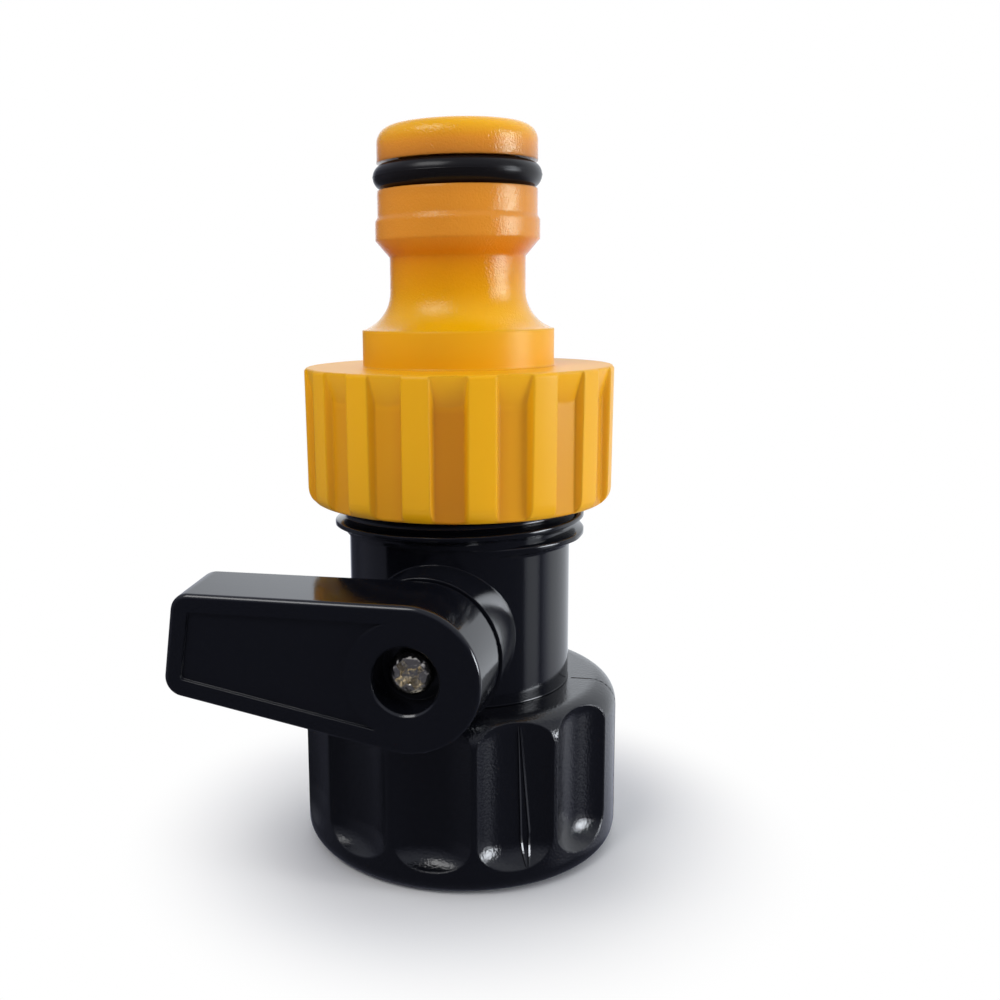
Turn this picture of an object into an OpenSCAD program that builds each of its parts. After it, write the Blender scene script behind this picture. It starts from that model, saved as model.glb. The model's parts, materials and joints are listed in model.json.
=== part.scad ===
// Rain barrel faucet: a swivel nut, a quarter-turn ball valve and a push-on hose adapter.
// Millimetres. Z runs up the water way, from the nut's rim at zero to the nipple's tip.
// The lever's shaft points to -Y and the lever's arm to -X, which is the closed position.

/* [Water way] */
// Diameter of the water way through tailpiece, ball and nipple
bore_d = 9.5; // [8.5:0.1:10]
// Wall of the ball between its bore and its surface
ball_rim = 2.85; // [2.6:0.05:3.1]
// Gap between the ball and the chamber around it
ball_gap = 0.4; // [0.3:0.05:0.6]

/* [Pipe thread] */
// Outside diameter of the 3/4 inch pipe thread
thread_d = 26.4; // [26:0.1:27]
// Height of the thread's ridges, which the solids leave out
thread_depth = 1.16; // [1.05:0.01:1.3]

/* [Swivel nut] */
// Outside diameter of the nut
nut_d = 33.6; // [33:0.1:36]
// Height of the nut
nut_h = 17.5; // [16.8:0.1:20]
// Thickness of the lip that holds the nut on the valve
nut_lip = 2.9; // [2.5:0.1:3.4]
// Radius of the nut's upper edge
nut_top_round = 2.6; // [1:0.1:2.8]
// Radius of the nut's lower edge
nut_foot_round = 2; // [0.6:0.1:2.2]
// Number of grip flutes on each half of the nut
flutes_per_half = 5; // [3:1:5]
// Angle from one flute to the next
flute_pitch = 29.3; // [29.2:0.1:32]
// Radius of the cutter that makes a flute
flute_cutter_r = 7.4; // [6.8:0.1:8]
// Rounding of that cutter's nose, which shapes a flute's ends
flute_nose_r = 3.3; // [2.6:0.1:3.4]
// Depth of a flute
flute_depth = 1.65; // [1:0.05:1.7]
// Height of the flutes' lower ends above the rim
flute_foot = 2.5; // [2.2:0.1:4]
// Distance that the flutes' cutter runs past the nut's top
flute_overrun = 1.1; // [0.6:0.1:1.4]
// Turn of the nut against the valve, as it rests
nut_turn = 1.4; // [-15:0.1:15]

/* [Tailpiece] */
// Thickness of the tailpiece's flange
flange_t = 2.4; // [2:0.1:3]
// Wall between the seat's pocket and the outside of the neck
neck_wall = 2.25; // [2.1:0.05:2.4]
// Distance across the flats of the key hole in the tailpiece
key_af = 12; // [11:0.5:12.5]
// Depth of the key hole
key_depth = 3; // [2:0.1:3.6]
// Distance of the rubber ring's middle below the neck's end
neck_ring_inset = 1.6; // [1.3:0.1:1.8]
// Thickness of the rubber ring round the neck
neck_ring_d = 1.3; // [1.1:0.1:1.4]
// Thickness of the flat washer in the nut
inlet_washer_t = 2.5; // [2:0.1:3]
// Hole in the flat washer in the nut
inlet_washer_bore_d = 16; // [15:0.5:18]

/* [Seats] */
// Thickness of a seat behind the ball's bore
seat_floor = 1.4; // [1.3:0.05:1.6]
// Height of a seat
seat_h = 2.6; // [2.4:0.1:2.8]
// Width of a seat's rim outside the ball
seat_edge = 0.85; // [0.7:0.05:1]
// Gap between the water way and a seat's bore
seat_bore_gap = 0.15; // [0.05:0.05:0.25]
// Height of the pocket's wall beyond a seat
pocket_lip = 0.2; // [0.1:0.1:0.4]
// Thickness of the rubber cushion behind a seat
cushion_d = 0.9; // [0.7:0.1:1]

/* [Valve body] */
// Outside diameter of the body
body_d = 23.4; // [23:0.1:24]
// Outside diameter of the spigot that passes through the nut
spigot_d = 21.6; // [21.4:0.1:22]
// Height of the lever's axis above the nut
axis_rise = 7.1; // [7:0.1:8]
// Height of the outlet's end above the lever's axis
outlet_rise = 21.4; // [20:0.1:23]
// Length of the threaded stretch
thread_run = 12.4; // [12:0.1:14]
// Wall above the upper seat
web_t = 2.5; // [2:0.1:3.5]
// Width of the outlet above that wall
cup_d = 17.2; // [14:0.1:18]
// Bevel on the outlet's end
outlet_bevel = 0.8; // [0.4:0.1:1]
// Diameter of the boss that carries the lever's shaft
boss_d = 15; // [14.6:0.1:15.4]

/* [Shaft] */
// Diameter of the shaft
shaft_d = 6; // [5.7:0.1:6.4]
// Diameter of the shaft's inner collar
shaft_collar_d = 8; // [7.6:0.1:8.2]
// Thickness of the shaft's inner collar
shaft_collar_t = 1.2; // [1:0.1:1.4]
// Thickness of the slip washer on that collar
slip_washer_t = 0.5; // [0.4:0.1:0.8]
// Thickness of the tongue that turns the ball
tongue_t = 2.2; // [1.8:0.1:2.6]
// Width of the tongue
tongue_w = 5.6; // [5:0.1:6]
// Depth of the slot in the ball
slot_depth = 1.8; // [1.4:0.1:2]
// Distance across the flats of the square that turns the lever
square_af = 4.2; // [3.9:0.1:4.4]
// Thickness of the rubber rings round the shaft
shaft_ring_d = 1; // [0.8:0.1:1.1]
// Distance between the two rings
shaft_ring_pitch = 2.2; // [2:0.1:2.4]

/* [Lever] */
// Diameter of the lever's hub
hub_d = 14.5; // [14:0.1:15]
// Thickness of the lever
lever_t = 7.4; // [6.8:0.1:8.4]
// Narrowing of the lever's outline from its back to its face, which frees it from the mould
lever_draft = 0.4; // [0.2:0.05:0.5]
// Distance from the hub's axis to the arm's end face
arm_reach = 23.2; // [20:0.1:30]
// Lean of the arm's end face
end_lean = 7.7; // [0:0.1:12]
// Slope of the arm's lower edge
arm_taper = 10.2; // [6:0.1:11]
// Radius of the arm's two corners
corner_r = 2.2; // [1.8:0.1:2.6]
// Radius of the edges of the lever's face
edge_r = 0.5; // [0.3:0.1:0.8]
// Depth of the sunk panel on the arm's face
panel_depth = 0.35; // [0.2:0.05:0.6]
// Border from the lever's back outline to the panel
panel_border = 2.1; // [1.8:0.1:2.4]
// Radius of the disc that the panel leaves round the hub
panel_disc_r = 5.5; // [5.5:0.1:6]
// Radius of the panel's and pockets' corners
inner_corner_r = 0.4; // [0.3:0.1:0.8]
// Walls and ribs of the hollowed back
rib_t = 1.5; // [1.2:0.1:1.8]
// Depth of the pockets in the back
pocket_depth = 5; // [3:0.1:5.2]
// Wall of the lever's skirt round the shaft
skirt_wall = 1.2; // [1:0.1:1.4]
// Reach of that skirt into the boss
skirt_reach = 1.4; // [1.3:0.1:1.6]
// Height of the lever's stop beyond the skirt
stop_h = 1.9; // [1.6:0.1:2]
// Reach of the stop into the boss
stop_reach = 1.2; // [1:0.1:1.2]
// Play of the lever's stop against the boss's ends, as an angle
stop_play = 1.5; // [1:0.1:3]
// Angle that the lever's stop covers
stop_span = 30; // [20:1:40]
// Turn from closed to open
quarter_turn = 90; // [80:1:95]

/* [Lever screw] */
// Diameter of the hole over the screw
screw_well_d = 6.2; // [5.8:0.1:6.6]
// Depth of the hole over the screw
screw_well_depth = 4; // [3.6:0.1:4.4]
// Web between the screw's head and the lever's square socket
web_under_head = 1.1; // [1:0.1:1.4]
// Bevel round the mouth of that hole
screw_well_bevel = 0.2; // [0.1:0.1:0.4]
// Diameter of the screw's head
head_d = 4.2; // [3.9:0.1:4.5]
// Height of the screw's head
head_h = 2.1; // [1.8:0.1:2.4]
// Diameter of the screw's shank
shank_d = 2.4; // [2:0.1:2.6]
// Radius of the head's rounded edge
head_round = 0.8; // [0.5:0.1:1]
// Turn of the head's cross against the lever's shaft
drive_turn = 40; // [0:1:89]
// Length of the screw's shank
shank_len = 7; // [6:0.1:8]
// Width of the cross in the head
drive_w = 0.9; // [0.7:0.1:1]
// Length of the cross from end to end
drive_l = 2.8; // [2.4:0.1:3]
// Depth of the cross
drive_depth = 1.2; // [0.8:0.1:1.4]

/* [Hose adapter] */
// Outside diameter of the ribbed collar at its top
collar_d = 32.2; // [31.6:0.1:33.2]
// Height of the collar
collar_h = 14.1; // [12:0.1:15]
// Narrowing of the collar's radius towards its foot
collar_draft = 0.15; // [0.05:0.05:0.4]
// Thickness of the collar's roof
roof_t = 2.9; // [2.2:0.1:3.6]
// Radius of the collar's lower edge
collar_foot_round = 1.5; // [1:0.1:1.8]
// Radius of the collar's upper edge
collar_top_round = 0.4; // [0.3:0.1:0.8]
// Number of ribs round the collar
ribs = 16; // [12:1:18]
// Depth of the grooves between the ribs
groove_depth = 0.85; // [0.5:0.05:1]
// Width of a groove at its floor
groove_floor_w = 2.8; // [2:0.1:3]
// Slope of a groove's sides, as its extra width on each side
groove_flank = 0.5; // [0.3:0.1:0.8]
// Height of the ramp on which a groove runs out under the collar's top
groove_ramp = 3; // [1:0.1:4]
// Depth that is left of a groove at the collar's top
groove_top_depth = 0.15; // [0.1:0.05:0.4]
// Turn of the first groove's middle against the lever's side
groove_turn = 8.25; // [0:0.25:22.5]
// Thickness of the flat washer in the collar
adapter_washer_t = 2; // [1.5:0.1:2.5]
// Diameter of the nipple's foot
foot_d = 19.9; // [19:0.1:21]
// Height of the nipple's foot
foot_h = 3.75; // [3:0.05:5]
// Diameter of the nipple's neck
neck_d = 14; // [13.4:0.1:14.6]
// Radius of the hollow between foot and neck
flare_r = 4.1; // [3.2:0.1:4.4]
// Diameter of the nipple's catch ridge
ridge_d = 16.9; // [16.6:0.1:17.4]
// Height of the ridge's widest part
ridge_h = 1.9; // [1.4:0.1:2.4]
// Height of the ridge's slope down to the neck
ridge_slope = 1.7; // [1.2:0.1:2]
// Diameter of the nipple's sealing bands
band_d = 16.4; // [16:0.1:16.6]
// Height of the straight step between ridge and lower band
band_step = 0.2; // [0.1:0.1:0.4]
// Height of the lower band
low_band_h = 2.6; // [2:0.1:3.4]
// Height of the upper band, with its rounded edge
top_band_h = 3.6; // [3:0.1:4.4]
// Radius of the nipple's upper edge
tip_round = 1.65; // [1:0.05:1.8]
// Height of the neck's straight part
neck_h = 3.4; // [2.6:0.1:4]
// Thickness of the rubber ring round the nipple
nipple_ring_d = 2.65; // [2.2:0.05:2.8]
// How far that ring stands proud of the bands
ring_proud = 0.42; // [0.2:0.01:0.6]
// Bevel round the nipple's mouth
mouth_bevel = 0.6; // [0.3:0.1:0.8]

/* [Fits] */
// Gap round parts that turn in each other
turn_gap = 0.1; // [0.06:0.01:0.15]
// Gap round parts that are fixed to each other
fit_gap = 0.05; // [0.03:0.01:0.08]
// Gap round the flange and washer in the nut
washer_gap = 0.3; // [0.2:0.05:0.4]
// End play of the nut, and of flat faces that slide past each other
end_play = 0.1; // [0.05:0.01:0.2]
// Gap between the lever's back and the boss, and the collar or nut beneath it
lever_gap = 0.3; // [0.2:0.05:0.6]

/* [Hidden] */
$fn = 96;
cut = 1;

bore_r = bore_d / 2;
ball_r = bore_r + ball_rim;
chamber_r = ball_r + ball_gap;
thread_r = thread_d / 2;
core_r = thread_r - thread_depth;
nut_r = nut_d / 2;
body_r = body_d / 2;
spigot_r = spigot_d / 2;
collar_r = collar_d / 2;

lip_z = nut_h - nut_lip;
shoulder_z = nut_h + end_play;
spigot_z = lip_z - end_play;
flange_z = spigot_z - flange_t;
inlet_washer_z = flange_z - inlet_washer_t;
nut_thread_top = inlet_washer_z - end_play;
flange_r = core_r - turn_gap;
nut_hole_r = spigot_r + turn_gap;

axis_z = nut_h + axis_rise;
seat_bore_r = bore_r + seat_bore_gap;
seat_back = sqrt(pow(ball_r, 2) - pow(seat_bore_r, 2)) + seat_floor;
seat_front = seat_back - seat_h;
seat_r = sqrt(pow(ball_r, 2) - pow(seat_front, 2)) + seat_edge;
cushion_mid_r = (seat_bore_r + seat_r) / 2;
pocket_front = seat_front - pocket_lip;
pocket_r = seat_r + fit_gap;

neck_r = pocket_r + neck_wall;
neck_top = axis_z - pocket_front;
neck_ring_z = neck_top - neck_ring_inset;

outlet_z = axis_z + outlet_rise;
thread_z = outlet_z - thread_run;
cup_z = axis_z + seat_back + web_t;
roof_z = outlet_z + adapter_washer_t;
collar_top = roof_z + roof_t;
collar_foot = collar_top - collar_h;

lever_back = max(nut_r, collar_r) + lever_gap;
boss_end = lever_back - lever_gap;
lever_front = lever_back + lever_t;
shaft_r = shaft_d / 2;
shaft_collar_r = shaft_collar_d / 2;
shaft_collar_y = chamber_r + end_play;
slip_washer_y = shaft_collar_y + shaft_collar_t;
shaft_seat_y = slip_washer_y + slip_washer_t + end_play;
skirt_r = shaft_r + skirt_wall;
skirt_end = boss_end - skirt_reach;
skirt_floor = skirt_end - 2 * end_play;
stop_r = skirt_r + stop_h;
stop_end = boss_end - stop_reach;
stop_floor = stop_end - 2 * end_play;
well_floor = lever_front - screw_well_depth;
square_end = well_floor - web_under_head;
shaft_ring_y = (shaft_seat_y + skirt_floor) / 2;
shaft_groove_w = shaft_ring_d + 2 * fit_gap;
hub_r = hub_d / 2;

nipple_neck_r = neck_d / 2;
ridge_r = ridge_d / 2;
band_r = band_d / 2;
foot_r = foot_d / 2;
flare_top = collar_top + foot_h + sqrt(pow(flare_r, 2) - pow(nipple_neck_r + flare_r - foot_r, 2));
ridge_slope_z = flare_top + neck_h;
ridge_z = ridge_slope_z + ridge_slope;
ridge_top = ridge_z + ridge_h;
low_band_z = ridge_top + ridge_r - band_r + band_step;
ring_groove_z = low_band_z + low_band_h;
ring_groove_h = nipple_ring_d + 2 * fit_gap;
top_band_z = ring_groove_z + ring_groove_h;
nipple_top = top_band_z + top_band_h;
ring_mid_r = band_r + ring_proud - nipple_ring_d / 2;

plastic_black = "#17171a";
plastic_yellow = "#e39a1e";
rubber_black = "#202020";
acetal_white = "#ecebe4";
seat_white = "#f6f6f2";
steel = "#b9bcc0";

// A flat ring or tube that stands on height z
module tube(outer_r, inner_r, z, h) {
    translate([0, 0, z]) difference() {
        cylinder(r = outer_r, h = h);
        translate([0, 0, -cut]) cylinder(r = inner_r, h = h + 2 * cut);
    }
}

// A rubber ring of round section
module round_ring(mid_r, section_d, z) {
    translate([0, 0, z])
        rotate_extrude() translate([mid_r, 0]) circle(d = section_d, $fn = 32);
}

// What rounding takes off an outer corner that points to +X and +Y
module corner_waste(r) {
    difference() {
        square(r + cut);
        circle(r = r);
    }
}

// Turns a part that was drawn upwards so that it points out along the shaft
module along_shaft() {
    translate([0, 0, axis_z]) rotate([90, 0, 0]) children();
}

// The nut's revolved shape: thread wall, washer space and lip
module nut_blank() {
    rotate_extrude() difference() {
        square([nut_r, nut_h]);
        translate([nut_r - nut_top_round, nut_h - nut_top_round]) corner_waste(nut_top_round);
        translate([nut_r - nut_foot_round, nut_foot_round]) mirror([0, 1]) corner_waste(nut_foot_round);
        translate([0, -cut]) square([thread_r + fit_gap, nut_thread_top + cut]);
        square([flange_r + washer_gap, lip_z]);
        square([nut_hole_r, nut_h + cut]);
    }
}

// A flute is one pass of a round-nosed cutter, so its ends are scooped
module flute() {
    reach = sqrt(pow(flute_nose_r, 2) - pow(flute_nose_r - flute_depth, 2));
    low_z = flute_foot + reach;
    high_z = nut_h + flute_overrun - reach;
    translate([nut_r + flute_cutter_r - flute_depth, 0, 0]) rotate_extrude() {
        translate([0, low_z]) square([flute_cutter_r, high_z - low_z]);
        translate([0, low_z - flute_nose_r])
            square([flute_cutter_r - flute_nose_r, high_z - low_z + 2 * flute_nose_r]);
        for (z = [low_z, high_z])
            translate([flute_cutter_r - flute_nose_r, z]) circle(r = flute_nose_r);
    }
}

// Two plain lands at the sides carry the mould's parting line
module swivel_nut() {
    color(plastic_black) rotate([0, 0, nut_turn]) difference() {
        nut_blank();
        for (half = [0, 180], i = [0 : flutes_per_half - 1])
            rotate([0, 0, half - 90 + (i - (flutes_per_half - 1) / 2) * flute_pitch]) flute();
    }
}

module inlet_washer() {
    color(rubber_black)
        tube(flange_r, inlet_washer_bore_d / 2, inlet_washer_z, inlet_washer_t);
}

// Screwed up into the body, it traps the nut's lip and carries the lower seat
module inlet_tailpiece() {
    groove_h = neck_ring_d + 2 * fit_gap;
    color(plastic_black) difference() {
        union() {
            translate([0, 0, flange_z]) cylinder(r = flange_r, h = flange_t);
            translate([0, 0, flange_z]) cylinder(r = neck_r, h = neck_top - flange_z);
        }
        translate([0, 0, flange_z - cut]) cylinder(r = bore_r, h = neck_top);
        translate([0, 0, flange_z - cut])
            cylinder(r = key_af / 2 / cos(30), h = key_depth + cut, $fn = 6);
        translate([0, 0, axis_z - seat_back]) cylinder(r = pocket_r, h = seat_h + cut);
        tube(neck_r + cut, neck_r - neck_ring_d, neck_ring_z - groove_h / 2, groove_h);
    }
}

module tailpiece_ring() {
    color(rubber_black) round_ring(neck_r - neck_ring_d / 2, neck_ring_d, neck_ring_z);
}

// A seat drawn below the ball: its face is the ball's own sphere, its back holds the cushion
module seat() {
    groove_w = cushion_d + 2 * fit_gap;
    rotate_extrude() difference() {
        translate([seat_bore_r, -seat_back]) square([seat_r - seat_bore_r, seat_h]);
        circle(r = ball_r + fit_gap);
        translate([cushion_mid_r - groove_w / 2, -seat_back - cut]) square([groove_w, groove_w + cut]);
    }
}

module lower_seat() {
    color(seat_white) translate([0, 0, axis_z]) seat();
}

module upper_seat() {
    color(seat_white) translate([0, 0, axis_z]) mirror([0, 0, 1]) seat();
}

module lower_seat_cushion() {
    color(rubber_black)
        round_ring(cushion_mid_r, cushion_d, axis_z - seat_back + cushion_d / 2 + fit_gap);
}

module upper_seat_cushion() {
    color(rubber_black)
        round_ring(cushion_mid_r, cushion_d, axis_z + seat_back - cushion_d / 2 - fit_gap);
}

// Closed, the ball's bore lies across the water way and its slot along it
module valve_ball() {
    slot_w = tongue_t + 2 * turn_gap;
    color(acetal_white) translate([0, 0, axis_z]) difference() {
        sphere(r = ball_r);
        rotate([0, 90, 0]) cylinder(r = bore_r, h = 2 * ball_r + cut, center = true);
        translate([-slot_w / 2, -ball_r - cut, -ball_r])
            cube([slot_w, slot_depth + cut, 2 * ball_r]);
    }
}

// The shaft goes in from inside: its collar stops it from being pushed out
module shaft() {
    color(plastic_black) along_shaft() difference() {
        union() {
            translate([0, 0, shaft_collar_y]) cylinder(r = shaft_collar_r, h = shaft_collar_t);
            translate([0, 0, shaft_collar_y]) cylinder(r = shaft_r, h = skirt_floor - shaft_collar_y);
            intersection() {
                translate([0, 0, shaft_collar_y]) cylinder(r = shaft_r, h = square_end - shaft_collar_y);
                translate([-square_af / 2, -square_af / 2, shaft_collar_y])
                    cube([square_af, square_af, square_end]);
            }
            intersection() {
                tongue_start = ball_r - slot_depth + end_play;
                translate([-tongue_t / 2, -tongue_w / 2, tongue_start])
                    cube([tongue_t, tongue_w, shaft_collar_y + cut / 2 - tongue_start]);
                cylinder(r = shaft_collar_r, h = boss_end);
            }
        }
        for (side = [-0.5, 0.5])
            translate([0, 0, shaft_ring_y + side * shaft_ring_pitch - shaft_groove_w / 2])
                difference() {
                    cylinder(r = shaft_r + cut, h = shaft_groove_w);
                    translate([0, 0, -cut]) cylinder(r = shaft_r - shaft_ring_d, h = shaft_groove_w + 2 * cut);
                }
        translate([0, 0, well_floor - shank_len - end_play])
            cylinder(r = shank_d / 2 + fit_gap, h = shank_len + cut);
    }
}

module slip_washer() {
    color(seat_white) along_shaft()
        tube(shaft_collar_r, shaft_r + turn_gap, slip_washer_y + end_play / 2, slip_washer_t);
}

module shaft_ring_inner() {
    color(rubber_black) along_shaft()
        round_ring(shaft_r - shaft_ring_d / 2, shaft_ring_d, shaft_ring_y - shaft_ring_pitch / 2);
}

module shaft_ring_outer() {
    color(rubber_black) along_shaft()
        round_ring(shaft_r - shaft_ring_d / 2, shaft_ring_d, shaft_ring_y + shaft_ring_pitch / 2);
}

// A sector of a ring, drawn upwards from height z, from one angle to another
module ring_sector(outer_r, inner_r, z, h, from, to) {
    rotate([0, 0, from]) translate([0, 0, z])
        rotate_extrude(angle = to - from) translate([inner_r, 0]) square([outer_r - inner_r, h]);
}

// The boss is flat underneath, where it passes over the nut
module boss() {
    difference() {
        along_shaft() cylinder(r = boss_d / 2, h = boss_end);
        translate([-boss_d, -boss_end - cut, shoulder_z - boss_d])
            cube([2 * boss_d, boss_end + 2 * cut, boss_d]);
    }
}

module body_outside() {
    translate([0, 0, spigot_z]) cylinder(r = spigot_r, h = shoulder_z - spigot_z + cut);
    translate([0, 0, shoulder_z]) cylinder(r = body_r, h = outlet_z - shoulder_z - cut);
    translate([0, 0, thread_z]) cylinder(r = core_r, h = thread_run - outlet_bevel);
    translate([0, 0, outlet_z - outlet_bevel])
        cylinder(r1 = core_r, r2 = core_r - outlet_bevel, h = outlet_bevel);
    boss();
}

module body_inside() {
    translate([0, 0, spigot_z - cut]) cylinder(r = neck_r + fit_gap, h = neck_top + end_play - spigot_z + cut);
    translate([0, 0, neck_top]) cylinder(r = chamber_r, h = 2 * pocket_front);
    translate([0, 0, axis_z]) cylinder(r = pocket_r, h = seat_back);
    translate([0, 0, axis_z]) cylinder(r = bore_r, h = outlet_rise);
    translate([0, 0, cup_z]) cylinder(r = cup_d / 2, h = outlet_z - cup_z + cut);
}

// From the chamber outwards: seat of the collar, bore of the shaft, round the lever's skirt
module boss_inside() {
    near_end = -stop_span / 2 - stop_play;
    far_end = quarter_turn + stop_span / 2 + stop_play;
    along_shaft() {
        cylinder(r = shaft_collar_r + turn_gap, h = shaft_seat_y);
        cylinder(r = shaft_r + fit_gap, h = boss_end);
        translate([0, 0, skirt_floor]) cylinder(r = skirt_r + turn_gap, h = boss_end - skirt_floor + cut);
        mirror([0, 1, 0])
            ring_sector(stop_r + turn_gap, shaft_r, stop_floor, boss_end - stop_floor + cut, near_end, far_end);
    }
}

module valve_body() {
    color(plastic_black) difference() {
        body_outside();
        body_inside();
        boss_inside();
    }
}

// Middles of the arm's rounded corners, out along the arm and up from the shaft's axis
top_corner = [
    (arm_reach - corner_r - (hub_r - corner_r) * sin(end_lean)) / cos(end_lean),
    hub_r - corner_r
];
low_corner = [
    (arm_reach - corner_r) * cos(arm_taper) + (hub_r - corner_r) * sin(end_lean),
    (arm_reach - corner_r) * sin(arm_taper) - (hub_r - corner_r) * cos(end_lean)
] / cos(arm_taper - end_lean);

// One round end of the lever, drawn as its sharp back and its rounded face
module lever_end(r) {
    cylinder(r = r, h = edge_r / 10, $fn = 64);
    translate([0, 0, lever_t - edge_r])
        rotate_extrude($fn = 64) translate([r - lever_draft - edge_r, 0]) circle(r = edge_r, $fn = 24);
}

// The arm's outline is the band that runs round the hub and the two corners
module lever_blank() {
    hull() {
        lever_end(hub_r);
        translate(top_corner) lever_end(corner_r);
        translate(low_corner) lever_end(corner_r);
    }
}

// The same outline moved inwards by a border
module inner_outline(border) {
    inset = border + inner_corner_r - corner_r;
    hull() {
        circle(r = hub_r - border, $fn = 64);
        translate(top_corner - [inset, inset]) circle(r = inner_corner_r, $fn = 24);
        translate(low_corner + [-inset, inset]) circle(r = inner_corner_r, $fn = 24);
    }
}

// Four pockets between ribs keep the moulded arm's walls even
module back_pockets() {
    difference() {
        translate([0, 0, -cut]) linear_extrude(height = pocket_depth + cut) inner_outline(rib_t);
        translate([0, 0, -2 * cut]) cylinder(r = hub_r, h = pocket_depth + 3 * cut);
        translate([(hub_r + arm_reach - rib_t) / 2 - rib_t / 2, -hub_r, -2 * cut])
            cube([rib_t, 2 * hub_r, pocket_depth + 3 * cut]);
        translate([0, (top_corner[1] + low_corner[1]) / 2 - rib_t / 2, -2 * cut])
            cube([arm_reach, rib_t, pocket_depth + 3 * cut]);
    }
}

module lever_cuts() {
    socket = square_af + 2 * fit_gap;
    back_pockets();
    translate([0, 0, lever_t - panel_depth]) linear_extrude(height = panel_depth + cut) difference() {
        inner_outline(panel_border);
        circle(r = panel_disc_r);
    }
    translate([0, 0, lever_t - screw_well_depth]) cylinder(r = screw_well_d / 2, h = screw_well_depth + cut);
    translate([0, 0, lever_t - screw_well_bevel]) cylinder(
        r1 = screw_well_d / 2, r2 = screw_well_d / 2 + 2 * screw_well_bevel, h = 2 * screw_well_bevel);
    translate([-socket / 2, -socket / 2, skirt_end - lever_back - cut])
        cube([socket, socket, square_end + end_play - skirt_end + cut]);
    translate([0, 0, -cut]) cylinder(r = shank_d / 2 + turn_gap, h = lever_t);
}

// Drawn with the arm along +X, then turned to point to -X
module lever() {
    color(plastic_black) along_shaft() mirror([1, 0, 0]) translate([0, 0, lever_back]) difference() {
        union() {
            lever_blank();
            translate([0, 0, skirt_end - lever_back])
                cylinder(r = skirt_r, h = lever_back - skirt_end + edge_r);
            mirror([1, 0, 0])
                ring_sector(stop_r, shaft_r, stop_end - lever_back, lever_back - stop_end + edge_r,
                    -stop_span / 2, stop_span / 2);
        }
        lever_cuts();
    }
}

// A pan head with a rounded edge and a cross recess, on a plain shank
module lever_screw() {
    color(steel) along_shaft() translate([0, 0, well_floor]) difference() {
        union() {
            rotate_extrude() difference() {
                square([head_d / 2, head_h]);
                translate([head_d / 2 - head_round, head_h - head_round]) corner_waste(head_round);
            }
            translate([0, 0, -shank_len]) cylinder(r = shank_d / 2, h = shank_len + head_h / 2);
        }
        for (turn = [0, 90]) rotate([0, 0, drive_turn + turn])
            translate([-drive_l / 2, -drive_w / 2, head_h - drive_depth]) cube([drive_l, drive_w, head_h]);
        translate([0, 0, head_h - drive_depth]) cylinder(r1 = drive_w / 2, r2 = drive_w, h = drive_depth + fit_gap);
    }
}

module nipple_profile() {
    difference() {
        union() {
            translate([0, roof_z]) square([foot_r, flare_top - roof_z]);
            translate([0, roof_z]) square([nipple_neck_r, ridge_z - roof_z]);
            polygon([
                [0, ridge_slope_z], [nipple_neck_r, ridge_slope_z], [ridge_r, ridge_z], [ridge_r, ridge_top],
                [band_r, low_band_z], [band_r, ring_groove_z], [0, ring_groove_z]
            ]);
            translate([0, ring_groove_z - cut])
                square([ring_mid_r - nipple_ring_d / 2 - fit_gap, ring_groove_h + 2 * cut]);
            difference() {
                translate([0, top_band_z]) square([band_r, top_band_h]);
                translate([band_r - tip_round, nipple_top - tip_round]) corner_waste(tip_round);
            }
        }
        translate([nipple_neck_r + flare_r, flare_top]) circle(r = flare_r);
        translate([0, roof_z - cut]) square([bore_r, nipple_top - roof_z + 2 * cut]);
        translate([0, nipple_top - mouth_bevel]) polygon([
            [0, 0], [bore_r, 0], [bore_r + mouth_bevel + cut, mouth_bevel + cut], [0, mouth_bevel + cut]
        ]);
    }
}

module collar_profile() {
    foot_r_low = collar_r - collar_draft;
    difference() {
        polygon([
            [thread_r + fit_gap, collar_foot], [foot_r_low, collar_foot],
            [collar_r, collar_top], [0, collar_top], [0, roof_z], [thread_r + fit_gap, roof_z]
        ]);
        translate([collar_r - collar_top_round, collar_top - collar_top_round])
            corner_waste(collar_top_round);
        translate([foot_r_low - collar_foot_round, collar_foot + collar_foot_round])
            mirror([0, 1]) corner_waste(collar_foot_round);
        square([bore_r, collar_top + cut]);
    }
}

// One groove between two ribs, with sloping sides
module collar_groove() {
    floor_r = collar_r - groove_depth;
    side = groove_flank * (1 + cut / groove_depth);
    translate([0, 0, collar_foot - cut]) linear_extrude(height = collar_h + 2 * cut) polygon([
        [floor_r, -groove_floor_w / 2], [collar_r + cut, -groove_floor_w / 2 - side],
        [collar_r + cut, groove_floor_w / 2 + side], [floor_r, groove_floor_w / 2]
    ]);
}

// The grooves' floors rise towards the collar's top, so its upper edge is nearly whole
module collar_grooves() {
    floor_r = collar_r - groove_depth;
    top_r = collar_r - groove_top_depth;
    slope = groove_ramp / (top_r - floor_r);
    difference() {
        for (i = [0 : ribs - 1])
            rotate([0, 0, -90 + groove_turn + i * 360 / ribs]) collar_groove();
        rotate_extrude() polygon([
            [floor_r - cut, collar_top - groove_ramp - cut * slope],
            [top_r + cut, collar_top + cut * slope],
            [floor_r - cut, collar_top + cut * slope]
        ]);
    }
}

module hose_adapter() {
    color(plastic_yellow) rotate_extrude() nipple_profile();
    color(plastic_yellow) difference() {
        rotate_extrude() collar_profile();
        collar_grooves();
    }
}

module adapter_washer() {
    color(rubber_black) tube(core_r - outlet_bevel, cup_d / 2, outlet_z, adapter_washer_t);
}

module nipple_ring() {
    color(rubber_black) round_ring(ring_mid_r, nipple_ring_d, ring_groove_z + ring_groove_h / 2);
}

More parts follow.
